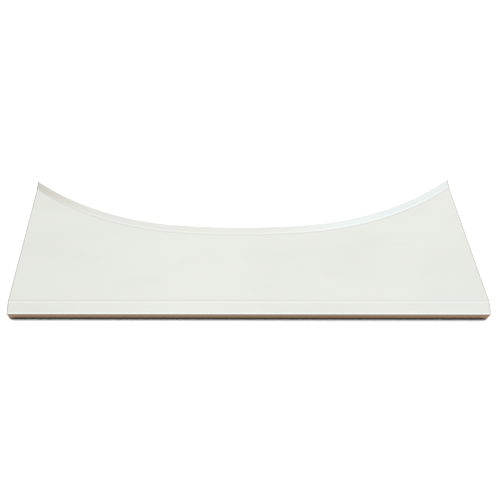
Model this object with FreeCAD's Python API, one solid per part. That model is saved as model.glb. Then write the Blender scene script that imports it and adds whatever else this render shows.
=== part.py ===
import FreeCAD, Part
import math
import os

from FreeCAD import Placement, Rotation, Vector

# Exterior drop visor for a truck cab with a curved windscreen, in millimetres.
#
# The blade is one folded sheet.  It has a flat panel, a straight front strip broken downwards, a lip turned
# down in front, narrow returns down both sides, and a flange turned up along the concave rear edge that
# follows the cab's roof.  Four folding brackets hang from studs welded under the blade, so that nothing shows
# on top.  Each is a pair of ears, an arm and a foot, and is modelled folded flat under the blade, as stored.
#
# Everything is drawn in the blade's own frame: X across the cab, Y to the rear from the front crease, and Z up
# from the panel's underside.  seated() then moves it to where the blade stands on Z = 0 on its side returns,
# with the origin in the middle of its footprint.

# Blade
WIDTH = 1930.0                # across the cab
SIDE_DEPTH = 609.0            # front crease to rear crease, along the ends
SHEET = 2.0                   # sheet thickness
INSIDE_BEND = 2.0             # inside radius of every bend
MIDDLE_RADIUS = 2950.0        # rear crease: the flatter middle arc
MIDDLE_HALF_ANGLE = 5.8       # degrees of the middle arc, each side of the centre
END_RADIUS = 1340.0           # rear crease: the tighter arc towards each end
STRIP_WIDTH = 54.0            # front strip, crease to lip
STRIP_DROP = 17.5             # degrees below the panel
LIP_HEIGHT = 42.0             # down from the strip's edge
FLANGE_WIDTH = 33.0           # rear flange
FLANGE_RISE = 15.5            # degrees above the panel
RETURN_DEPTH = 12.0           # down from the panel's top, along both sides
LAND = 10.0                   # flat metal drawn with each bend, between it and the panel

# Roof gasket: a foam strip stuck under the rear flange
GASKET_START = 9.0            # from the rear crease, along the flange
GASKET_WIDTH = 12.0
GASKET_THICKNESS = 5.0

# Folding brackets
BRACKETS = {"left_outer": -760.0, "left_inner": -300.0, "right_inner": 300.0, "right_outer": 760.0}
PIVOT_SETBACK = 75.0          # arm's pivot, forward of the rear crease
PIVOT_DROP = 13.0             # arm's pivot, below the panel's underside
ARM_LENGTH = 150.0            # pivot to pivot
ARM_THICKNESS = 5.0
EYE_RADIUS = 9.0              # rounded end of an arm, an ear or a foot's cheek
PLATE = 3.0                   # thickness of the folded ears and feet
GAP = 0.3                     # clearance between pieces that turn against each other
WASHER_THICKNESS = 1.0
EAR_LENGTH = 50.0
EAR_FLANGE = 26.0
STUD_OFFSET_X = 16.0          # stud's centre from the ear's inner face
STUD_OFFSET_Y = 16.0          # stud's centre fore and aft of the pivot
STUD_LENGTH = 12.0
FOOT_INSIDE = 34.0            # between a foot's two cheeks
FOOT_FRONT = 9.0              # foot's web, forward of its pivot
FOOT_REAR = 38.0              # foot's web, to the rear of its pivot
FOOT_DROP = 16.5              # foot's pivot to the web's outer face
CHEEK_STEP = 8.0              # height of a cheek's low end
PAD_THICKNESS = 3.0
PAD_MARGIN = 1.0
MOUNT_HOLE_X = 10.0           # foot's two screw holes, each side of the arm
MOUNT_HOLE_Y = 24.0           # and to the rear of the foot's pivot

# Fasteners: M6 studs, flange nuts and screw holes, M8 pivot bolts and lock nuts
STUD_RADIUS = 3.0
CLEARANCE_RADIUS = 3.3
STUD_NUT_BORE = 3.05
STUD_NUT = (10.0, 6.0)        # across flats, height
STUD_NUT_FLANGE = (6.8, 1.2)  # radius, thickness
BOLT_RADIUS = 4.0
PIVOT_BORE = 4.05
BOLT_HEAD = (13.0, 5.3)
LOCK_NUT = (13.0, 8.0)
LOCK_NUT_COLLAR = (5.4, 2.4)  # top radius and height of the nylon collar's dome
COLLAR_ROOT = 0.9             # the dome's root circle, over the nut's width across flats
BOLT_TAIL = 1.5               # thread showing past the lock nut
CROWN = 1.04                  # top circle of a hexagon's turned corners, over its width across flats
WASHER_RADIUS = 8.0
SPACER_RADIUS = 6.5

HALF_WIDTH = WIDTH / 2
X_AXIS = Vector(1, 0, 0)
Y_AXIS = Vector(0, 1, 0)
Z_AXIS = Vector(0, 0, 1)
MIDDLE_ANGLE = math.radians(MIDDLE_HALF_ANGLE)
RADIUS_STEP = MIDDLE_RADIUS - END_RADIUS
END_ANGLE = math.asin((HALF_WIDTH - RADIUS_STEP * math.sin(MIDDLE_ANGLE)) / END_RADIUS)
SAGITTA = MIDDLE_RADIUS - END_RADIUS * math.cos(END_ANGLE) - RADIUS_STEP * math.cos(MIDDLE_ANGLE)
MIDDLE_DEPTH = SIDE_DEPTH - SAGITTA
MIDDLE_CENTRE = Vector(0, MIDDLE_DEPTH + MIDDLE_RADIUS, 0)
END_CENTRE = MIDDLE_CENTRE + RADIUS_STEP * Vector(math.sin(MIDDLE_ANGLE), -math.cos(MIDDLE_ANGLE), 0)


def polar(radius, degrees):
    """A step in the YZ plane, at an angle above +Y."""
    return Vector(0, radius * math.cos(math.radians(degrees)), radius * math.sin(math.radians(degrees)))


def crease_y(x):
    """The rear crease's Y at a distance x from the centre line."""
    centre, radius = MIDDLE_CENTRE, MIDDLE_RADIUS
    if abs(x) > MIDDLE_RADIUS * math.sin(MIDDLE_ANGLE):
        centre, radius = END_CENTRE, END_RADIUS
    return centre.y - math.sqrt(radius ** 2 - (abs(x) - centre.x) ** 2)


def bent_line(points, sheet, shift):
    """One surface of a bent sheet, as edges in the YZ plane.

    points is the outer surface's outline, with the sheet on its right, and shift moves the line into the
    sheet.  A corner is rounded where its radius at that depth is above zero, and sharp where it isn't."""
    steps = [(b - a).normalize() for a, b in zip(points, points[1:])]
    rights = [Vector(0, step.z, -step.y) for step in steps]
    stations = [[points[0] + rights[0] * shift]]
    arcs = []
    for corner, before, after, right in zip(points[1:-1], steps, steps[1:], rights):
        turn = math.atan2(before.y * after.z - before.z * after.y, before.dot(after))
        inner = corner + right * shift + before * shift * math.tan(turn / 2)
        radius = INSIDE_BEND + sheet - shift if turn < 0 else INSIDE_BEND + shift
        reach = max(radius, 0.0) * math.tan(abs(turn) / 2)
        bulge = max(radius, 0.0) * (1 / math.cos(turn / 2) - 1)
        middle = inner + (after - before).normalize() * bulge
        stations[-1].append(inner - before * reach)
        stations.append([inner + after * reach])
        arcs.append(middle if reach > 0 else None)
    stations[-1].append(points[-1] + rights[-1] * shift)
    edges = [Part.LineSegment(*stations[0]).toShape()]
    for middle, last, station in zip(arcs, stations, stations[1:]):
        if middle:
            edges.append(Part.Arc(last[1], middle, station[0]).toShape())
        edges.append(Part.LineSegment(*station).toShape())
    return edges


def bent_face(points, sheet, depth=None):
    """The cross-section of a bent sheet, or of a deeper band under its outer surface."""
    top = bent_line(points, sheet, 0.0)
    bottom = bent_line(points, sheet, sheet if depth is None else depth)
    start = Part.makeLine(top[0].Vertexes[0].Point, bottom[0].Vertexes[0].Point)
    end = Part.makeLine(top[-1].Vertexes[-1].Point, bottom[-1].Vertexes[-1].Point)
    return Part.Face(Part.Wire(Part.__sortEdges__(top + bottom + [start, end])))


def slab(low, high):
    """A box between two corners."""
    return Part.makeBox(high.x - low.x, high.y - low.y, high.z - low.z, low)


def rod(radius, start, end):
    """A round bar between two points."""
    return Part.makeCylinder(radius, (end - start).Length, start, end - start)


def mirrored(shape):
    return shape.mirror(Vector(0, 0, 0), X_AXIS)


def front_outline(rear_y):
    """The blade's outer surface in section, from the lip's lower edge to a place on the panel."""
    crease = Vector(0, 0, SHEET)
    edge = crease - polar(STRIP_WIDTH, STRIP_DROP)
    return [edge - Z_AXIS * LIP_HEIGHT, edge, crease, Vector(0, rear_y, SHEET)]


def along_rear_crease(face):
    """Carry a cross-section, drawn about Y = 0, along the rear crease, past both ends."""
    overrun = math.degrees(END_ANGLE - MIDDLE_ANGLE) + 3.0
    middle = face.translated(Vector(0, MIDDLE_DEPTH, 0))
    middle = middle.rotated(MIDDLE_CENTRE, Z_AXIS, -MIDDLE_HALF_ANGLE)
    middle = middle.revolve(MIDDLE_CENTRE, Z_AXIS, 2 * MIDDLE_HALF_ANGLE)
    right = face.translated(END_CENTRE - Vector(0, END_RADIUS, 0))
    right = right.rotated(END_CENTRE, Z_AXIS, MIDDLE_HALF_ANGLE).revolve(END_CENTRE, Z_AXIS, overrun)
    return middle.multiFuse([right, mirrored(right)])


def trim_to_width(shape):
    reach = 2 * WIDTH
    return shape.common(slab(Vector(-HALF_WIDTH, -reach, -reach), Vector(HALF_WIDTH, reach, reach)))


def panel():
    """The flat panel, from a land's width behind the front crease to a land's width ahead of the rear one."""
    band = along_rear_crease(Part.Face(Part.makePolygon([
        Vector(0, -SIDE_DEPTH, 0), Vector(0, -LAND, 0), Vector(0, -LAND, SHEET),
        Vector(0, -SIDE_DEPTH, SHEET), Vector(0, -SIDE_DEPTH, 0)])))
    return band.common(slab(Vector(-HALF_WIDTH, LAND, 0), Vector(HALF_WIDTH, SIDE_DEPTH, SHEET)))


def blade():
    front = bent_face(front_outline(LAND), SHEET)
    front = front.translated(-X_AXIS * HALF_WIDTH).extrude(X_AXIS * WIDTH)
    crease = Vector(0, 0, SHEET)
    flange = along_rear_crease(bent_face([
        crease - Y_AXIS * LAND, crease, crease + polar(FLANGE_WIDTH, FLANGE_RISE)], SHEET))
    side = bent_face(front_outline(SIDE_DEPTH), SHEET, RETURN_DEPTH)
    side = side.translated(X_AXIS * (HALF_WIDTH - SHEET)).extrude(X_AXIS * SHEET)
    return panel().multiFuse([front, trim_to_width(flange), side, mirrored(side)]).removeSplitter()


def roof_gasket():
    """A closed-cell foam strip under the flange, over its whole length."""
    outwards = polar(1.0, FLANGE_RISE - 90)
    start = Vector(0, 0, SHEET) + outwards * SHEET + polar(GASKET_START, FLANGE_RISE)
    end = start + polar(GASKET_WIDTH, FLANGE_RISE)
    lower = outwards * GASKET_THICKNESS
    section = Part.Face(Part.makePolygon([start, end, end + lower, start + lower, start]))
    return trim_to_width(along_rear_crease(section)).removeSplitter()


def hex_prism(across_flats, height):
    """A hexagon standing on Z = 0, with its top corners turned off at 45 degrees."""
    corner = Vector(across_flats / math.sqrt(3), 0, 0)
    corners = [Rotation(Z_AXIS, 60 * side).multVec(corner) for side in range(7)]
    prism = Part.Face(Part.makePolygon(corners)).extrude(Z_AXIS * height)
    rim = across_flats / 2 * CROWN
    return prism.common(Part.makeCone(rim + height, rim, height))


def flange_nut():
    """M6 flange nut, its flange on Z = 0 and its hexagon below."""
    flange_radius, flange_thickness = STUD_NUT_FLANGE
    body = hex_prism(*STUD_NUT).fuse(Part.makeCylinder(flange_radius, flange_thickness))
    body = body.cut(Part.makeCylinder(STUD_NUT_BORE, STUD_NUT[1]))
    return body.rotated(Vector(0, 0, 0), X_AXIS, 180)


def pivot_bolt(start, end):
    """M8 bolt along X, its head's seat at start and its lock nut's seat at end."""
    head = hex_prism(*BOLT_HEAD).rotated(Vector(0, 0, 0), Y_AXIS, -90).translated(start)
    return head.fuse(rod(BOLT_RADIUS, start, end + X_AXIS * (LOCK_NUT[1] + BOLT_TAIL)))


def lock_nut(seat):
    """M8 lock nut, along X, with the dome of its nylon collar outwards."""
    across_flats, height = LOCK_NUT
    collar_radius, collar_height = LOCK_NUT_COLLAR
    nut = hex_prism(across_flats, height - collar_height)
    dome = Part.makeCone(across_flats / 2 * COLLAR_ROOT, collar_radius, collar_height)
    nut = nut.fuse(dome.translated(Z_AXIS * (height - collar_height)))
    nut = nut.cut(Part.makeCylinder(PIVOT_BORE, height))
    return nut.rotated(Vector(0, 0, 0), Y_AXIS, 90).translated(seat)


def ring(outer, bore, start, end):
    return rod(outer, start, end).cut(rod(bore, start, end))


EAR_FACE = ARM_THICKNESS / 2 + GAP + WASHER_THICKNESS    # ear's inner face, from the arm's middle
EAR_BACK = EAR_FACE + PLATE
CHEEK_FACE = FOOT_INSIDE / 2
CHEEK_BACK = CHEEK_FACE + PLATE


def ear():
    """The right-hand ear of a bracket's pair, about the arm's pivot: an angle with a rounded cheek."""
    underside = Z_AXIS * PIVOT_DROP
    section = bent_face([
        Y_AXIS * EAR_FACE - Z_AXIS * EYE_RADIUS, Y_AXIS * EAR_FACE + underside,
        Y_AXIS * (EAR_FACE + EAR_FLANGE) + underside], PLATE)
    angle = section.rotated(Vector(0, 0, 0), Z_AXIS, -90)
    angle = angle.translated(-Y_AXIS * EAR_LENGTH / 2).extrude(Y_AXIS * EAR_LENGTH)
    foot_of_cheek = PIVOT_DROP - PLATE - INSIDE_BEND
    slope = Part.Face(Part.makePolygon([
        Vector(0, -EAR_LENGTH / 2, foot_of_cheek), Vector(0, EAR_LENGTH / 2, foot_of_cheek),
        Vector(0, EYE_RADIUS, 0), Vector(0, -EYE_RADIUS, 0),
        Vector(0, -EAR_LENGTH / 2, foot_of_cheek)])).extrude(X_AXIS * EAR_BACK)
    flange = slab(Vector(0, -EAR_LENGTH, foot_of_cheek), Vector(EAR_LENGTH, EAR_LENGTH, PIVOT_DROP))
    shape = angle.common(flange.multiFuse([slope, rod(EYE_RADIUS, Vector(0, 0, 0), X_AXIS * EAR_BACK)]))
    holes = [rod(PIVOT_BORE, Vector(0, 0, 0), X_AXIS * EAR_BACK)]
    for side in (-1, 1):
        place = Vector(EAR_FACE + STUD_OFFSET_X, side * STUD_OFFSET_Y, 0)
        holes.append(rod(CLEARANCE_RADIUS, place, place + underside))
    return shape.cut(holes).removeSplitter()


def stud_places():
    """The four studs of a bracket, on the panel's underside, from the arm's pivot."""
    across = EAR_FACE + STUD_OFFSET_X
    return [Vector(x, y, PIVOT_DROP) for x in (-across, across) for y in (-STUD_OFFSET_Y, STUD_OFFSET_Y)]


def arm():
    """A flat bar on edge, from the arm's pivot forward to the foot's."""
    half = ARM_THICKNESS / 2
    far = -Y_AXIS * ARM_LENGTH
    bar = slab(Vector(-half, -ARM_LENGTH, -EYE_RADIUS), Vector(half, 0, EYE_RADIUS))
    sides = [(place - X_AXIS * half, place + X_AXIS * half) for place in (Vector(0, 0, 0), far)]
    ends = [rod(EYE_RADIUS, *side) for side in sides]
    bores = [rod(PIVOT_BORE, *side) for side in sides]
    return bar.multiFuse(ends).cut(bores).removeSplitter()


def screw_holes(low, high):
    """A foot's two screw holes, between two heights."""
    return [rod(CLEARANCE_RADIUS, Vector(x, MOUNT_HOLE_Y, low), Vector(x, MOUNT_HOLE_Y, high))
            for x in (-MOUNT_HOLE_X, MOUNT_HOLE_X)]


def foot():
    """A folded channel about the foot's pivot, open upwards, its web level."""
    section = bent_face([
        Vector(0, CHEEK_BACK, EYE_RADIUS), Vector(0, CHEEK_BACK, -FOOT_DROP),
        Vector(0, -CHEEK_BACK, -FOOT_DROP), Vector(0, -CHEEK_BACK, EYE_RADIUS)], PLATE)
    channel = section.rotated(Vector(0, 0, 0), Z_AXIS, -90)
    channel = channel.translated(-Y_AXIS * FOOT_FRONT).extrude(Y_AXIS * (FOOT_FRONT + FOOT_REAR))
    cheek = Part.Face(Part.makePolygon([
        Vector(0, -FOOT_FRONT, -FOOT_DROP), Vector(0, FOOT_REAR, -FOOT_DROP),
        Vector(0, FOOT_REAR, CHEEK_STEP - FOOT_DROP), Vector(0, EYE_RADIUS, 0), Vector(0, -FOOT_FRONT, 0),
        Vector(0, -FOOT_FRONT, -FOOT_DROP)])).translated(-X_AXIS * CHEEK_BACK)
    outline = cheek.extrude(X_AXIS * 2 * CHEEK_BACK)
    outline = outline.fuse(rod(EYE_RADIUS, -X_AXIS * CHEEK_BACK, X_AXIS * CHEEK_BACK))
    bore = rod(PIVOT_BORE, -X_AXIS * CHEEK_BACK, X_AXIS * CHEEK_BACK)
    return channel.common(outline).cut([bore] + screw_holes(-FOOT_DROP, 0.0)).removeSplitter()


def pad():
    """A rubber pad stuck to the foot's web."""
    top = -FOOT_DROP
    half = CHEEK_BACK - PAD_MARGIN
    plate = slab(Vector(-half, -FOOT_FRONT + PAD_MARGIN, top - PAD_THICKNESS),
                 Vector(half, FOOT_REAR - PAD_MARGIN, top))
    return plate.cut(screw_holes(top - PAD_THICKNESS, top))


# The blade stands on its side returns: on their front ends, just behind the lip, and on their rear corners.
LIP_FOOT = front_outline(0)[0] + Y_AXIS * RETURN_DEPTH
REAR_FOOT = Vector(0, SIDE_DEPTH, SHEET - RETURN_DEPTH)
TILT = math.degrees(math.atan2(REAR_FOOT.z - LIP_FOOT.z, REAR_FOOT.y - LIP_FOOT.y))
TIPPED = Placement(Vector(0, 0, 0), Rotation(X_AXIS, -TILT))


def seat_of(shape):
    """The placement that stands the blade on Z = 0, the middle of its footprint at the origin."""
    box = shape.transformed(TIPPED.Matrix, True).optimalBoundingBox(False)
    return Placement(Vector(0, -(box.YMin + box.YMax) / 2, -TIPPED.multVec(LIP_FOOT).z), TIPPED.Rotation)


SHEET_METAL = blade()
SEAT = seat_of(SHEET_METAL)


def seated(shape, place=Vector(0, 0, 0)):
    """A shape drawn about a place in the blade's frame, moved to where the standing blade has it."""
    return shape.translated(place).transformed(SEAT.Matrix, True)


pieces = {"blade": seated(SHEET_METAL), "roof_gasket": seated(roof_gasket())}
welded_studs, stud_nuts, pivot_bolts, pivot_nuts, friction_washers = [], [], [], [], []
ear_left, ear_right = mirrored(ear()), ear()
washer = ring(WASHER_RADIUS, PIVOT_BORE, X_AXIS * (EAR_FACE - WASHER_THICKNESS), X_AXIS * EAR_FACE)
spacer = ring(SPACER_RADIUS, PIVOT_BORE, X_AXIS * ARM_THICKNESS / 2, X_AXIS * (CHEEK_FACE - GAP))

for name, x in BRACKETS.items():
    pivot = Vector(x, crease_y(x) - PIVOT_SETBACK, -PIVOT_DROP)
    for stud in stud_places():
        top = pivot + stud
        welded_studs.append(seated(rod(STUD_RADIUS, top, top - Z_AXIS * STUD_LENGTH)))
        stud_nuts.append(seated(flange_nut(), top - Z_AXIS * PLATE))
    pieces["ear_left_" + name] = seated(ear_left, pivot)
    pieces["ear_right_" + name] = seated(ear_right, pivot)
    pivot_bolts.append(seated(pivot_bolt(-X_AXIS * EAR_BACK, X_AXIS * EAR_BACK), pivot))
    pivot_nuts.append(seated(lock_nut(X_AXIS * EAR_BACK), pivot))
    friction_washers += [seated(washer, pivot), seated(mirrored(washer), pivot)]

    pieces["arm_" + name] = seated(arm(), pivot)
    foot_pivot = pivot - Y_AXIS * ARM_LENGTH
    side = CHEEK_BACK + GAP
    pieces["foot_bolt_" + name] = seated(pivot_bolt(-X_AXIS * side, X_AXIS * side), foot_pivot)
    pieces["foot_nut_" + name] = seated(lock_nut(X_AXIS * side), foot_pivot)
    spacer_pair = [seated(spacer, foot_pivot), seated(mirrored(spacer), foot_pivot)]
    pieces["spacers_" + name] = Part.Compound(spacer_pair)

    foot_place = SEAT.multVec(foot_pivot)
    pieces["foot_" + name] = foot().translated(foot_place)
    pieces["pad_" + name] = pad().translated(foot_place)
    print(name, "arm pivot", SEAT.multVec(pivot), "foot pivot", foot_place)

pieces["weld_studs"] = Part.Compound(welded_studs)
pieces["stud_nuts"] = Part.Compound(stud_nuts)
pieces["pivot_bolts"] = Part.Compound(pivot_bolts)
pieces["pivot_nuts"] = Part.Compound(pivot_nuts)
pieces["friction_washers"] = Part.Compound(friction_washers)

os.makedirs("parts", exist_ok=True)
for name, shape in pieces.items():
    shape.exportStep("parts/" + name + ".step")
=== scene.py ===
import math

import bmesh
import bpy
from mathutils import Matrix, Vector


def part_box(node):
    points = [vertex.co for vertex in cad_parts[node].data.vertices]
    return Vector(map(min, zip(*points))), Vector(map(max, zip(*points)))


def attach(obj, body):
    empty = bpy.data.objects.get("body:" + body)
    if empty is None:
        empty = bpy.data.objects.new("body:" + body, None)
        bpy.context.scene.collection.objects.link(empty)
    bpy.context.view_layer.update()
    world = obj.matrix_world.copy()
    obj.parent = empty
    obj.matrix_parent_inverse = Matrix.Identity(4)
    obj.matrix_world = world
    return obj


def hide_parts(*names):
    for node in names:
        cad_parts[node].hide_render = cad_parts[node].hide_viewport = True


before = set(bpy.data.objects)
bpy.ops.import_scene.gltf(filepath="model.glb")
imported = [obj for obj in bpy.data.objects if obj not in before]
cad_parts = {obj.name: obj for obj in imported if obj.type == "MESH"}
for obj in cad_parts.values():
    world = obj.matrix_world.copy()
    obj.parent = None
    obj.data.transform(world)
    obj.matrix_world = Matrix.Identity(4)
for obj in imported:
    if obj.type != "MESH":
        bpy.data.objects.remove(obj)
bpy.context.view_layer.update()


# ---- Blade: the sheet ---------------------------------------------------------------------------------
# One 2 mm sheet of stainless steel, laser-cut and folded on a press brake, then polished to a mirror on top.
# It has a flat panel, a front strip broken downwards, a lip, a rear flange turned up along the cab's curve,
# and a return down each side.  The blade stands on the returns.
MM = 0.001
SHEET = 2 * MM
INSIDE_BEND = 2 * MM
OUTSIDE_BEND = INSIDE_BEND + SHEET
SIDE_DEPTH = 609 * MM
MIDDLE_RADIUS = 2950 * MM
MIDDLE_ANGLE = math.radians(5.8)
END_RADIUS = 1340 * MM
STRIP_WIDTH = 54 * MM
STRIP_DROP = math.radians(17.5)
LIP_HEIGHT = 42 * MM
FLANGE_WIDTH = 33 * MM
FLANGE_RISE = math.radians(15.5)
RETURN_DEPTH = 12 * MM
FOLD_ROUNDING = 3 * MM        # outside radius of the fold between panel and return
CUT_ROUNDING = 0.3 * MM       # deburred cut edges
LAND = 10 * MM                # flat metal beside the rear bend
OVERRUN = math.radians(3)     # of the rear curve past the blade's side, before it is trimmed
MERGE = 0.01 * MM             # corners nearer than this are one corner
LEVEL = 0.001 * MM            # and corners within this lie in one plane

X_AXIS = Vector((1, 0, 0))
Z_AXIS = Vector((0, 0, 1))
blade_low, blade_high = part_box("blade")
half_width = (blade_high.x - blade_low.x) / 2
radius_step = MIDDLE_RADIUS - END_RADIUS
end_angle = math.asin((half_width - radius_step * math.sin(MIDDLE_ANGLE)) / END_RADIUS)
middle_rise = radius_step * math.cos(MIDDLE_ANGLE)
middle_centre = Vector((0, SIDE_DEPTH + END_RADIUS * math.cos(end_angle) + middle_rise, 0))
end_centre = middle_centre + radius_step * Vector((math.sin(MIDDLE_ANGLE), -math.cos(MIDDLE_ANGLE), 0))


def new_edges(grown):
    return [part for part in grown if isinstance(part, bmesh.types.BMEdge)]


def new_verts(grown):
    return [part for part in grown if isinstance(part, bmesh.types.BMVert)]


def carry(metal, line, step):
    """Extrude a line of edges, or a single vertex, straight on by a step."""
    if new_edges(line):
        grown = bmesh.ops.extrude_edge_only(metal, edges=new_edges(line))["geom"]
        grown = [part for part in grown if not isinstance(part, bmesh.types.BMFace)]
    else:
        grown = bmesh.ops.extrude_vert_indiv(metal, verts=new_verts(line))["verts"]
    bmesh.ops.translate(metal, vec=step, verts=new_verts(grown))
    return grown


def fold(metal, line, centre, axis, angle, steps):
    """Spin a line of edges, or a single vertex, about an axis."""
    return bmesh.ops.spin(metal, geom=line, cent=centre, axis=axis, angle=angle, steps=steps)["geom_last"]


def mesh_object(metal, name):
    mesh = bpy.data.meshes.new(name)
    metal.to_mesh(mesh)
    metal.free()
    piece = bpy.data.objects.new(name, mesh)
    bpy.context.scene.collection.objects.link(piece)
    return piece


# The rear bend and flange, in section at the middle of the cab, then carried round the two arcs of one half.
metal = bmesh.new()
crease_y = middle_centre.y - MIDDLE_RADIUS
reach = INSIDE_BEND * math.tan(FLANGE_RISE / 2)
section = [metal.verts.new((0, crease_y - LAND, SHEET))]
tip = carry(metal, section, Vector((0, LAND - reach, 0)))
tip = fold(metal, new_verts(tip), (0, crease_y - reach, SHEET + INSIDE_BEND), X_AXIS, FLANGE_RISE, 4)
rise = Vector((0, math.cos(FLANGE_RISE), math.sin(FLANGE_RISE)))
carry(metal, new_verts(tip), rise * (FLANGE_WIDTH - reach))
section = metal.verts[:] + metal.edges[:]
section = fold(metal, section, middle_centre, Z_AXIS, MIDDLE_ANGLE, 8)
fold(metal, section, end_centre, Z_AXIS, end_angle - MIDDLE_ANGLE + OVERRUN, 48)
bmesh.ops.bisect_plane(metal, geom=metal.verts[:] + metal.edges[:] + metal.faces[:],
                       plane_co=(half_width, 0, 0), plane_no=X_AXIS, clear_outer=True)

# The panel runs from the rear bend's land to the front crease, and the strip and the lip go on from there.
land_edge = [edge for edge in metal.edges if edge.is_boundary
             and all(abs(vert.co.z - SHEET) < LEVEL for vert in edge.verts)
             and abs(edge.verts[0].co.x - edge.verts[1].co.x) > MERGE]
reach = OUTSIDE_BEND * math.tan(STRIP_DROP / 2)
front = land_edge
for row in (LAND, reach):
    front = carry(metal, front, Vector((0, 0, 0)))
    for vert in new_verts(front):
        vert.co.y = row
front = fold(metal, front, (0, reach, SHEET - OUTSIDE_BEND), X_AXIS, STRIP_DROP, 4)
lip_turn = math.radians(90) - STRIP_DROP
lip_reach = OUTSIDE_BEND * math.tan(lip_turn / 2)
strip_run = Vector((0, -math.cos(STRIP_DROP), -math.sin(STRIP_DROP)))
front = carry(metal, front, strip_run * (STRIP_WIDTH - reach - lip_reach))
strip_edge = Vector((0, 0, SHEET)) + strip_run * STRIP_WIDTH
strip_inwards = Vector((0, -strip_run.z, strip_run.y))
front = fold(metal, front, strip_edge + strip_inwards * OUTSIDE_BEND - strip_run * lip_reach,
             X_AXIS, lip_turn, 8)
carry(metal, front, Vector((0, 0, lip_reach - LIP_HEIGHT)))

# Each return follows the sheet's outline at its own depth, with mitred corners inside the two front bends.
crease_inside = Vector((0, 0, SHEET)) + RETURN_DEPTH * (
    strip_inwards + strip_run * math.tan(STRIP_DROP / 2))
edge_inside = strip_edge + RETURN_DEPTH * Vector((0, 1, -math.tan(lip_turn / 2)))
side_line = [edge for edge in metal.edges
             if all(vert.co.x > half_width - LEVEL and vert.co.z < SHEET + LEVEL for vert in edge.verts)]
grown = bmesh.ops.extrude_edge_only(metal, edges=side_line)["geom"]
for vert in new_verts(grown):
    along = (vert.co - strip_edge).dot(-strip_run)
    if vert.co.y >= reach:
        vert.co.y = max(vert.co.y, crease_inside.y)
        vert.co.z = SHEET - RETURN_DEPTH
    elif vert.co.z > strip_edge.z - lip_reach:
        nearest = (edge_inside - strip_edge).dot(-strip_run)
        farthest = (crease_inside - strip_edge).dot(-strip_run)
        inside = strip_edge + strip_inwards * RETURN_DEPTH - strip_run * min(max(along, nearest), farthest)
        vert.co.y, vert.co.z = inside.y, inside.z
    else:
        vert.co.y = strip_edge.y + RETURN_DEPTH
        vert.co.z = min(vert.co.z, edge_inside.z)
bmesh.ops.remove_doubles(metal, verts=metal.verts[:], dist=MERGE)
side_folds = [edge for edge in side_line if edge.is_valid]
bmesh.ops.bevel(metal, geom=side_folds, offset=FOLD_ROUNDING, affect="EDGES", segments=5, profile=0.5,
                material=-1, clamp_overlap=False)

# The other half is a mirror image.  Then the sheet is tipped until its returns stand on the floor.
bmesh.ops.mirror(metal, geom=metal.verts[:] + metal.edges[:] + metal.faces[:], axis="X", merge_dist=MERGE)
bmesh.ops.remove_doubles(metal, verts=metal.verts[:], dist=MERGE)
bmesh.ops.recalc_face_normals(metal, faces=metal.faces[:])
largest = max(metal.faces, key=lambda face: face.calc_area())
if largest.normal.z < 0:
    bmesh.ops.reverse_faces(metal, faces=metal.faces[:])
from_fold = metal.verts.layers.float.new("from_fold")     # how far onto the panel, past the nearer crease
for vert in metal.verts:
    across = abs(vert.co.x)
    bearing = math.atan2(across, middle_centre.y - vert.co.y)
    centre, radius = (middle_centre, MIDDLE_RADIUS) if bearing < MIDDLE_ANGLE else (end_centre, END_RADIUS)
    vert[from_fold] = min(vert.co.y, math.hypot(across - centre.x, vert.co.y - centre.y) - radius)
front_foot = Vector((0, strip_edge.y + RETURN_DEPTH, strip_edge.z - LIP_HEIGHT))
rear_foot = Vector((0, SIDE_DEPTH, SHEET - RETURN_DEPTH))
tilt = math.atan2(rear_foot.z - front_foot.z, rear_foot.y - front_foot.y)
tipping = Matrix.Rotation(-tilt, 4, "X")
foremost = min((tipping @ vert.co).y for vert in metal.verts)
standing = Matrix.Translation((0, blade_low.y - foremost, -(tipping @ front_foot).z)) @ tipping
bmesh.ops.transform(metal, matrix=standing, verts=metal.verts[:])
for face in metal.faces:
    face.smooth = True

blade = mesh_object(metal, "blade_sheet")
thickness = blade.modifiers.new("sheet thickness", "SOLIDIFY")
thickness.thickness = SHEET
thickness.offset = -1
thickness.use_even_offset = True
thickness.material_offset = 1
thickness.material_offset_rim = 2
deburring = blade.modifiers.new("deburred edges", "BEVEL")
deburring.width = CUT_ROUNDING
deburring.segments = 2
deburring.limit_method = "ANGLE"
deburring.angle_limit = math.radians(60)
levelling = blade.modifiers.new("flat faces shade flat", "WEIGHTED_NORMAL")
levelling.weight = 100
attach(blade, "blade")
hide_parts("blade")


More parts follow.
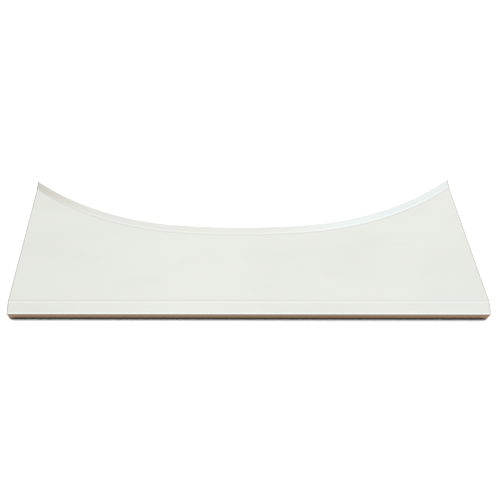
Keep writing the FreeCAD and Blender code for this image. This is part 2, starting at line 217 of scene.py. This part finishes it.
# ---- Blade: its finishes ------------------------------------------------------------------------------
# The top is buffed to a mirror along the blade's length, brightest on the lip's fold, where a bluish
# highlight is painted.  It keeps polishing lines and a film of wiping marks.  Beside each crease the press
# leaves a rubbed line, painted darker as shade, and past it a raised line painted lighter as a highlight.
# Its side folds are stretched dull and painted darker as shade.  The underside is as rolled, with handling
# scuffs, and the cut edges are finely ribbed.
class Wire:
    """A shader socket.  Sums on it add Math nodes, and node() adds any other node."""

    def __init__(self, tree, socket=None):
        self.tree = tree
        self.socket = socket

    def feed(self, socket, given):
        if isinstance(given, Wire):
            self.tree.links.new(given.socket, socket)
        else:
            socket.default_value = given

    def node(self, kind, settings=None, **inputs):
        """Add a node, its settings first and then its inputs by name, and return its first output."""
        node = self.tree.nodes.new("ShaderNode" + kind)
        for name, setting in (settings or {}).items():
            setattr(node, name, setting)
        for name, given in inputs.items():
            self.feed(next(s for s in node.inputs if s.enabled and s.name == name.replace("_", " ")), given)
        return Wire(self.tree, next(s for s in node.outputs if s.enabled))

    def output(self, name):
        return Wire(self.tree, self.socket.node.outputs[name])

    def sum_of(self, operation, *values):
        node = self.tree.nodes.new("ShaderNodeMath")
        node.operation = operation
        for socket, given in zip(node.inputs, values):
            self.feed(socket, given)
        return Wire(self.tree, node.outputs[0])

    def __add__(self, other):
        return self.sum_of("ADD", self, other)

    def __sub__(self, other):
        return self.sum_of("SUBTRACT", self, other)

    def __rsub__(self, other):
        return self.sum_of("SUBTRACT", other, self)

    def __mul__(self, other):
        return self.sum_of("MULTIPLY", self, other)

    __radd__ = __add__
    __rmul__ = __mul__

    def ramp(self, low, high):
        """0 below low, 1 above high, and smooth between."""
        return self.node("MapRange", {"interpolation_type": "SMOOTHSTEP"},
                         Value=self, From_Min=low, From_Max=high)

    def band(self, low, high, soft):
        """1 between low and high, and 0 outside."""
        return self.ramp(low - soft, low + soft) * (1 - self.ramp(high - soft, high + soft))

    def blend(self, first, second):
        """Two colours, with this as how much of the second there is."""
        return self.node("Mix", {"data_type": "RGBA"}, Factor=self, A=first, B=second)


def finish(name):
    """A new material, and the wire that its nodes are added with."""
    material = bpy.data.materials.new(name)
    material.use_nodes = True
    return material, Wire(material.node_tree)


def surface(wire, **inputs):
    """Set the finish's Principled surface."""
    shader = wire.tree.nodes["Principled BSDF"]
    for name, given in inputs.items():
        wire.feed(shader.inputs[name.replace("_", " ")], given)


def own_place(wire, stretch=(1, 1, 1)):
    """The piece's own coordinates in metres, stretched."""
    return wire.node("Mapping", Vector=wire.node("TexCoord").output("Object"), Scale=stretch)


def noise(wire, scale, detail=2.0, stretch=(1, 1, 1)):
    return wire.node("TexNoise", Vector=own_place(wire, stretch), Scale=scale, Detail=detail)


def bump(wire, height, distance, strength):
    return wire.node("Bump", Strength=strength, Distance=distance, Height=height)


polished_sheet, wire = finish("polished_sheet")
polishing_lines = noise(wire, 60, 3, (0.15, 14, 14))
wiping_marks = noise(wire, 5, 4, (0.6, 1.6, 1.6)).ramp(0.42, 0.72)
waviness = noise(wire, 3, 1, (0.7, 1.2, 1))
from_fold = wire.node("Attribute", {"attribute_name": "from_fold"}).output("Fac")
# Painted shade: a darker line on the panel beside each crease, which is also rubbed rougher.
rubbed_and_shaded_crease = from_fold.band(0.3 * MM, 5.2 * MM, 0.8 * MM)
# Painted highlight: a lighter line past each crease, on the strip and the flange, which is also slightly
# raised.
raised_and_highlighted_crease = from_fold.band(-7.8 * MM, -2.6 * MM, 1 * MM)
# Painted highlight: a bluish-white line along the lip's fold.
lip_fold_highlight = from_fold.band(strip_edge.y + 1 * MM, strip_edge.y + 5.3 * MM, 0.8 * MM)
from_middle = wire.sum_of("ABSOLUTE", wire.node("SeparateXYZ", Vector=own_place(wire)).output("X"))
# Painted shade: the side folds are darkened, and they are made rougher as well.
dulled_and_shaded_side_fold = from_middle.ramp(half_width - 4 * MM, half_width - 2.4 * MM)
bare_colour = wiping_marks.blend((0.832, 0.842, 0.812, 1), (0.812, 0.822, 0.792, 1))
crease_shade_colour = rubbed_and_shaded_crease.blend(bare_colour, (0.765, 0.772, 0.745, 1))
crease_highlight_colour = raised_and_highlighted_crease.blend(crease_shade_colour, (0.875, 0.885, 0.855, 1))
lip_highlight_colour = lip_fold_highlight.blend(crease_highlight_colour, (0.90, 0.97, 0.99, 1))
surface(wire, Metallic=1.0,
        Base_Color=dulled_and_shaded_side_fold.blend(lip_highlight_colour, (0.50, 0.475, 0.45, 1)),
        Roughness=0.045 + 0.03 * polishing_lines + 0.05 * wiping_marks + 0.06 * rubbed_and_shaded_crease
        + 0.16 * dulled_and_shaded_side_fold,
        Normal=bump(wire, waviness + 0.006 * polishing_lines + 0.06 * raised_and_highlighted_crease, 0.6 * MM, 0.25))

mill_sheet, wire = finish("mill_sheet")
rolling_grain = noise(wire, 40, 4, (0.05, 9, 9))
scuffs = noise(wire, 3.5, 5).ramp(0.35, 0.75)
scratches = noise(wire, 190, 2, (3, 0.1, 1)).ramp(0.67, 0.72)
surface(wire, Metallic=1.0,
        Base_Color=(0.5 * scratches).blend(scuffs.blend((0.62, 0.62, 0.605, 1), (0.49, 0.485, 0.465, 1)),
                                           (0.74, 0.74, 0.73, 1)),
        Roughness=0.26 + 0.12 * rolling_grain + 0.10 * scuffs,
        Normal=bump(wire, rolling_grain - 0.5 * scratches, 0.2 * MM, 0.3))

cut_edge, wire = finish("cut_edge")
laser_ribs = noise(wire, 900, 1, (1, 1, 0.1))
surface(wire, Metallic=1.0,
        Base_Color=laser_ribs.blend((0.34, 0.33, 0.31, 1), (0.52, 0.51, 0.49, 1)),
        Roughness=0.38 + 0.2 * laser_ribs,
        Normal=bump(wire, laser_ribs, 0.1 * MM, 0.4))

for material in (polished_sheet, mill_sheet, cut_edge):
    blade.data.materials.append(material)


# ---- Roof gasket --------------------------------------------------------------------------------------
# A strip of black closed-cell foam rubber, stuck under the rear flange where the blade meets the cab's roof.
# It is cut square at its ends, and its lower corners are moulded round.
GASKET_START = 9 * MM
GASKET_WIDTH = 12 * MM
GASKET_THICKNESS = 5 * MM
GASKET_ROUNDING = 2.2 * MM

foam = bmesh.new()
below_flange = Vector((0, math.sin(FLANGE_RISE), -math.cos(FLANGE_RISE)))
inner_corner = Vector((0, crease_y, SHEET)) + below_flange * SHEET + rise * GASKET_START
line = [foam.verts.new(inner_corner)]
for step in (rise * GASKET_WIDTH, below_flange * GASKET_THICKNESS, -rise * GASKET_WIDTH):
    line = carry(foam, line, step)
foam.edges.new((new_verts(line)[0], next(v for v in foam.verts if (v.co - inner_corner).length < LEVEL)))
section = foam.verts[:] + foam.edges[:]
section = fold(foam, section, middle_centre, Z_AXIS, MIDDLE_ANGLE, 10)
fold(foam, section, end_centre, Z_AXIS, end_angle - MIDDLE_ANGLE + OVERRUN, 60)
bmesh.ops.remove_doubles(foam, verts=foam.verts[:], dist=MERGE)
lower_corners = [(inner_corner + below_flange * GASKET_THICKNESS).z,
                 (inner_corner + below_flange * GASKET_THICKNESS + rise * GASKET_WIDTH).z]
lower_edges = [edge for edge in foam.edges if any(
    all(abs(vert.co.z - corner) < LEVEL for vert in edge.verts) for corner in lower_corners)]
bmesh.ops.bevel(foam, geom=lower_edges, offset=GASKET_ROUNDING, affect="EDGES", segments=5, profile=0.5,
                material=-1, clamp_overlap=False)
bmesh.ops.bisect_plane(foam, geom=foam.verts[:] + foam.edges[:] + foam.faces[:],
                       plane_co=(half_width, 0, 0), plane_no=X_AXIS, clear_outer=True)
cut_end = [edge for edge in foam.edges if all(vert.co.x > half_width - LEVEL for vert in edge.verts)]
bmesh.ops.contextual_create(foam, geom=cut_end)
bmesh.ops.mirror(foam, geom=foam.verts[:] + foam.edges[:] + foam.faces[:], axis="X", merge_dist=MERGE)
bmesh.ops.remove_doubles(foam, verts=foam.verts[:], dist=MERGE)
bmesh.ops.recalc_face_normals(foam, faces=foam.faces[:])
bmesh.ops.transform(foam, matrix=standing, verts=foam.verts[:])
for face in foam.faces:
    face.smooth = abs(face.normal.x) < 0.99
gasket = mesh_object(foam, "foam_gasket")
creases = gasket.modifiers.new("flat faces shade flat", "WEIGHTED_NORMAL")
creases.weight = 100
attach(gasket, "blade")
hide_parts("roof_gasket")

gasket_foam, wire = finish("gasket_foam")
pores = wire.node("TexVoronoi", Vector=own_place(wire), Scale=900)
skin = noise(wire, 60, 3)
dust = noise(wire, 9, 5).ramp(0.45, 0.75)
surface(wire, Specular_IOR_Level=0.3,
        Base_Color=(0.35 * dust).blend((0.022, 0.022, 0.024, 1), (0.11, 0.105, 0.095, 1)),
        Roughness=0.78 + 0.14 * skin,
        Normal=bump(wire, pores + 0.8 * skin, 0.4 * MM, 0.6))
gasket.data.materials.append(gasket_foam)


# ---- Brackets: ears, arms and feet --------------------------------------------------------------------
# Stainless plate, laser-cut, folded and brushed along its length: a pair of ears under the blade, a flat arm
# on edge and a channel foot.  Their shapes are the frame's own, and this is their finish.
def refinish(material, *names):
    """Give CAD nodes a finish, by the start of their names."""
    for name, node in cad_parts.items():
        if name.startswith(names):
            node.data.materials.clear()
            node.data.materials.append(material)


bracket_steel, wire = finish("bracket_steel")
brushing = noise(wire, 260, 3, (1, 0.05, 1))
cloudy = noise(wire, 22, 4).ramp(0.4, 0.7)
nicks = noise(wire, 150, 2, (0.5, 3, 3)).ramp(0.68, 0.72)
surface(wire, Metallic=1.0,
        Base_Color=nicks.blend(cloudy.blend((0.60, 0.60, 0.59, 1), (0.42, 0.415, 0.40, 1)),
                               (0.78, 0.78, 0.77, 1)),
        Roughness=0.27 + 0.14 * brushing + 0.10 * cloudy,
        Normal=bump(wire, brushing - 0.6 * nicks, 0.12 * MM, 0.45))
refinish(bracket_steel, "ear_", "arm_", "foot_left", "foot_right")


# ---- Weld studs ---------------------------------------------------------------------------------------
# M6 stainless studs, capacitor-welded to the panel's underside in fours, so that nothing shows on top.  Each
# has a plain collar at the sheet, then rolled ridges down to a chamfer at its free end.
BRACKET_PLACES = [place * MM for place in (-760, -300, 300, 760)]
PIVOT_SETBACK = 75 * MM
STUD_ACROSS = 19.8 * MM
STUD_ALONG = 16 * MM
STUD_LENGTH = 12 * MM
STUD_RADIUS = 3 * MM
STUD_THREAD_ROOT = 2.45 * MM
STUD_PITCH = 1 * MM
STUD_COLLAR = 1.2 * MM
STUD_CHAMFER = 0.8 * MM
STUD_SIDES = 16


def rear_crease_y(x):
    """The rear crease's place, at a distance across from the centre line."""
    centre, radius = middle_centre, MIDDLE_RADIUS
    if abs(x) > MIDDLE_RADIUS * math.sin(MIDDLE_ANGLE):
        centre, radius = end_centre, END_RADIUS
    return centre.y - math.sqrt(radius ** 2 - (abs(x) - centre.x) ** 2)


stud = bmesh.new()
outline = [stud.verts.new((0, 0, 0))]
outline = carry(stud, outline, Vector((STUD_RADIUS, 0, 0)))
outline = carry(stud, new_verts(outline), Vector((0, 0, -STUD_COLLAR)))
thread_depth = STUD_RADIUS - STUD_THREAD_ROOT
for turn in range(round((STUD_LENGTH - STUD_COLLAR - STUD_CHAMFER) / STUD_PITCH)):
    for step_in in (-thread_depth, thread_depth):
        outline = carry(stud, new_verts(outline), Vector((step_in, 0, -STUD_PITCH / 2)))
outline = carry(stud, new_verts(outline), Vector((-thread_depth, 0, -STUD_CHAMFER)))
carry(stud, new_verts(outline), Vector((-STUD_THREAD_ROOT, 0, 0)))
bmesh.ops.spin(stud, geom=stud.verts[:] + stud.edges[:], cent=(0, 0, 0), axis=Z_AXIS, angle=math.tau,
               steps=STUD_SIDES, use_merge=True)
bmesh.ops.remove_doubles(stud, verts=stud.verts[:], dist=LEVEL)
bmesh.ops.recalc_face_normals(stud, faces=stud.faces[:])
first_stud = stud.verts[:] + stud.edges[:] + stud.faces[:]
for place in BRACKET_PLACES:
    for across in (-STUD_ACROSS, STUD_ACROSS):
        for along in (-STUD_ALONG, STUD_ALONG):
            copy = bmesh.ops.duplicate(stud, geom=first_stud)["geom"]
            spot = Vector((place + across, rear_crease_y(place) - PIVOT_SETBACK + along, 0))
            bmesh.ops.translate(stud, vec=spot, verts=new_verts(copy))
bmesh.ops.delete(stud, geom=new_verts(first_stud), context="VERTS")
bmesh.ops.transform(stud, matrix=standing, verts=stud.verts[:])
studs = mesh_object(stud, "threaded_studs")
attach(studs, "blade")
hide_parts("weld_studs")


# ---- Nuts and pivot bolts -----------------------------------------------------------------------------
# Plain stainless hardware: M6 flange nuts on the studs, and M8 bolts with lock nuts at the pivots.  It is
# turned bright, dulled where it has been handled, and its finish serves the studs too.
fastener_steel, wire = finish("fastener_steel")
tool_marks = noise(wire, 500, 3, (1, 1, 0.25))
handled = noise(wire, 90, 3).ramp(0.42, 0.70)
surface(wire, Metallic=1.0,
        Base_Color=handled.blend((0.80, 0.80, 0.78, 1), (0.54, 0.53, 0.51, 1)),
        Roughness=0.14 + 0.14 * tool_marks + 0.14 * handled,
        Normal=bump(wire, tool_marks, 0.1 * MM, 0.4))
refinish(fastener_steel, "stud_nuts", "pivot_bolts", "pivot_nuts", "foot_bolt_", "foot_nut_")
studs.data.materials.append(fastener_steel)


# ---- Friction washers and spacers ---------------------------------------------------------------------
# Turned nylon washers pinched between the arm and its ears, which hold the arm where it is put, and plain
# steel tube spacers that centre the arm in its foot.
nylon, wire = finish("nylon")
turning = noise(wire, 500, 2, (0.2, 1, 1))
waxy = noise(wire, 45, 3)
surface(wire, Coat_Roughness=0.3,
        Base_Color=waxy.blend((0.86, 0.85, 0.79, 1), (0.76, 0.74, 0.67, 1)),
        Roughness=0.38 + 0.15 * turning,
        Normal=bump(wire, turning, 0.1 * MM, 0.4))
refinish(nylon, "friction_washers")
refinish(fastener_steel, "spacers_")


# ---- Foot pads ----------------------------------------------------------------------------------------
# Black rubber, moulded to fit the foot's web and stuck to it, with the foot's two screw holes through it.  A
# raised rim runs round its edge and round the holes, so that it seals against the cab.
PAD_CORNER = 3 * MM
PAD_RIM = 1.8 * MM
PAD_RECESS = 0.8 * MM
PAD_EDGE = 0.35 * MM
PAD_HOLE_RADIUS = 3.3 * MM
PAD_HOLE_X = 10 * MM
PAD_HOLE_FROM_FRONT = 32 * MM

pad_rubber, wire = finish("pad_rubber")
moulding = noise(wire, 420, 3)
chalky = noise(wire, 30, 4).ramp(0.45, 0.75)
surface(wire, Specular_IOR_Level=0.35,
        Base_Color=(0.5 * chalky).blend((0.026, 0.026, 0.028, 1), (0.11, 0.107, 0.10, 1)),
        Roughness=0.50 + 0.2 * moulding,
        Normal=bump(wire, moulding, 0.2 * MM, 0.5))

for node in [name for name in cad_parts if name.startswith("pad_")]:
    low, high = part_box(node)
    middle = (low + high) / 2
    rubber = bmesh.new()
    bmesh.ops.create_grid(rubber, x_segments=1, y_segments=1, size=0.5)
    bmesh.ops.scale(rubber, vec=(high.x - low.x, high.y - low.y, 1), verts=rubber.verts[:])
    bmesh.ops.translate(rubber, vec=(middle.x, middle.y, high.z), verts=rubber.verts[:])
    bmesh.ops.bevel(rubber, geom=rubber.verts[:], offset=PAD_CORNER, affect="VERTICES", segments=6,
                    profile=0.5, material=-1)
    bmesh.ops.delete(rubber, geom=rubber.faces[:], context="FACES_ONLY")
    for side in (-PAD_HOLE_X, PAD_HOLE_X):
        hole = Matrix.Translation((middle.x + side, low.y + PAD_HOLE_FROM_FRONT, high.z))
        bmesh.ops.create_circle(rubber, segments=24, radius=PAD_HOLE_RADIUS, matrix=hole)
    bmesh.ops.triangle_fill(rubber, use_beauty=True, edges=rubber.edges[:])
    top = rubber.faces[:]
    grown = bmesh.ops.extrude_face_region(rubber, geom=top, use_keep_orig=True)["geom"]
    bottom = [part for part in grown if isinstance(part, bmesh.types.BMFace)]
    bmesh.ops.translate(rubber, vec=(0, 0, low.z - high.z), verts=new_verts(grown))
    bmesh.ops.recalc_face_normals(rubber, faces=rubber.faces[:])
    bmesh.ops.inset_region(rubber, faces=bottom, thickness=PAD_RIM, depth=0, use_even_offset=True)
    bmesh.ops.inset_region(rubber, faces=bottom, thickness=PAD_RECESS, depth=-PAD_RECESS,
                           use_even_offset=True)
    pad = mesh_object(rubber, "rubber_" + node)
    edges = pad.modifiers.new("moulded edges", "BEVEL")
    edges.width = PAD_EDGE
    edges.segments = 2
    edges.limit_method = "ANGLE"
    edges.angle_limit = math.radians(35)
    pad.data.materials.append(pad_rubber)
    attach(pad, node.replace("pad_", "foot_"))
    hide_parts(node)


# ---- Floor, room and camera ---------------------------------------------------------------------------
# A studio floor, lit to white, with a narrow painted contact shadow, and clear from below.  Polished steel
# mirrors a room: a floor of warm timber, with a grey glow painted beneath the blade that is darker under its
# middle as painted shade, white walls darker towards the skirting, tan on the left, with a cool window on
# the right and a strip of lamps behind the camera.
FLOOR_SIZE = 30.0
CONTACT_SHADOW = 30 * MM
FLOOR_GLOW = (0.42, 0.42, 0.42, 1)
ROOM_SEEN = (0.93, 0.93, 0.925, 1)

floor_mesh = bmesh.new()
bmesh.ops.create_grid(floor_mesh, x_segments=1, y_segments=1, size=FLOOR_SIZE / 2)
floor = mesh_object(floor_mesh, "floor")
pale_floor, wire = finish("pale_floor")
reflected = wire.node("LightPath").output("Is Glossy Ray")
open_sky = wire.node("AmbientOcclusion", {"samples": 16}, Distance=CONTACT_SHADOW).output("AO")
contact = (open_sky - 0.08 * reflected).ramp(0.51, 0.77)
spot = wire.node("SeparateXYZ", Vector=own_place(wire))
beneath = spot.output("X").band(-half_width, half_width, 2 * MM) * spot.output("Y").band(
    blade_low.y, blade_high.y, 2 * MM)
timber = noise(wire, 2.2, 5, (0.4, 3, 1)).blend((0.34, 0.212, 0.137, 1), (0.41, 0.262, 0.172, 1))
# Painted glow and shade in the mirrored floor: grey beneath the blade, darker towards the middle.
open_edge = 1 - spot.output("X").band(-half_width, half_width, 300 * MM) * spot.output("Y").band(
    blade_low.y, blade_high.y, 250 * MM)
shaded = open_edge.blend((0.24, 0.235, 0.23, 1), (0.85, 0.845, 0.83, 1))
mirrored_floor = beneath.blend(timber, shaded)
surface(wire, Roughness=0.9, Specular_IOR_Level=0.1, Emission_Strength=1.0,
        Base_Color=(contact * (1 - reflected)).blend((0.02, 0.02, 0.02, 1), (0.92, 0.92, 0.915, 1)),
        Emission_Color=contact.blend((0, 0, 0, 1), reflected.blend(FLOOR_GLOW, mirrored_floor)))
shown = wire.node("MixShader", Fac=wire.node("NewGeometry").output("Backfacing"))
wire.tree.links.new(wire.tree.nodes["Principled BSDF"].outputs[0], shown.socket.node.inputs[1])
wire.tree.links.new(wire.node("BsdfTransparent").socket, shown.socket.node.inputs[2])
wire.tree.links.new(shown.socket, wire.tree.nodes["Material Output"].inputs["Surface"])
floor.data.materials.append(pale_floor)

room = bpy.data.worlds.new("room")
bpy.context.scene.world = room
room.use_nodes = True
wire = Wire(room.node_tree)
gaze = wire.node("SeparateXYZ", Vector=wire.node("TexCoord").output("Generated"))
across, away, up = (gaze.output(axis) for axis in "XYZ")
side_on = away.band(0.12, 0.46, 0.05)
tan_wall = (across * -1).ramp(0.42, 0.66) * side_on
window = across.ramp(0.12, 0.34) * side_on
lamps = (away * -1).ramp(0.55, 0.75) * up.band(0.16, 0.56, 0.08)
corners = 1 - (0.2 * across * across - 0.06 * across + (1 - up.ramp(0.0, 0.62)) * 0.55)
white = window.blend((0.995, 0.995, 0.975, 1), (1.04, 1.08, 1.11, 1))
walls = tan_wall.blend(white, (0.78, 0.71, 0.63, 1))
lamp_glow = across.ramp(-0.4, 0.5).blend((1.08, 1.14, 1.17, 1), (1.25, 1.34, 1.42, 1))
mirrored_room = lamps.blend(corners.blend((0, 0, 0, 1), walls), lamp_glow)
seen = wire.node("LightPath").output("Is Camera Ray")
wire.feed(room.node_tree.nodes["Background"].inputs["Color"],
          seen.blend(mirrored_room, ROOM_SEEN))

camera_data = bpy.data.cameras.new("camera")
camera_data.lens = 36.22
camera_data.shift_x = 0.0928
camera_data.shift_y = 0.0353
camera = bpy.data.objects.new("camera", camera_data)
camera.location = (-0.1311, -1.1714, 1.8710)
camera.rotation_euler = tuple(math.radians(angle) for angle in (29.726, 1.129, 0.559))
bpy.context.scene.collection.objects.link(camera)
bpy.context.scene.camera = camera
bpy.context.scene.view_settings.view_transform = "Standard"
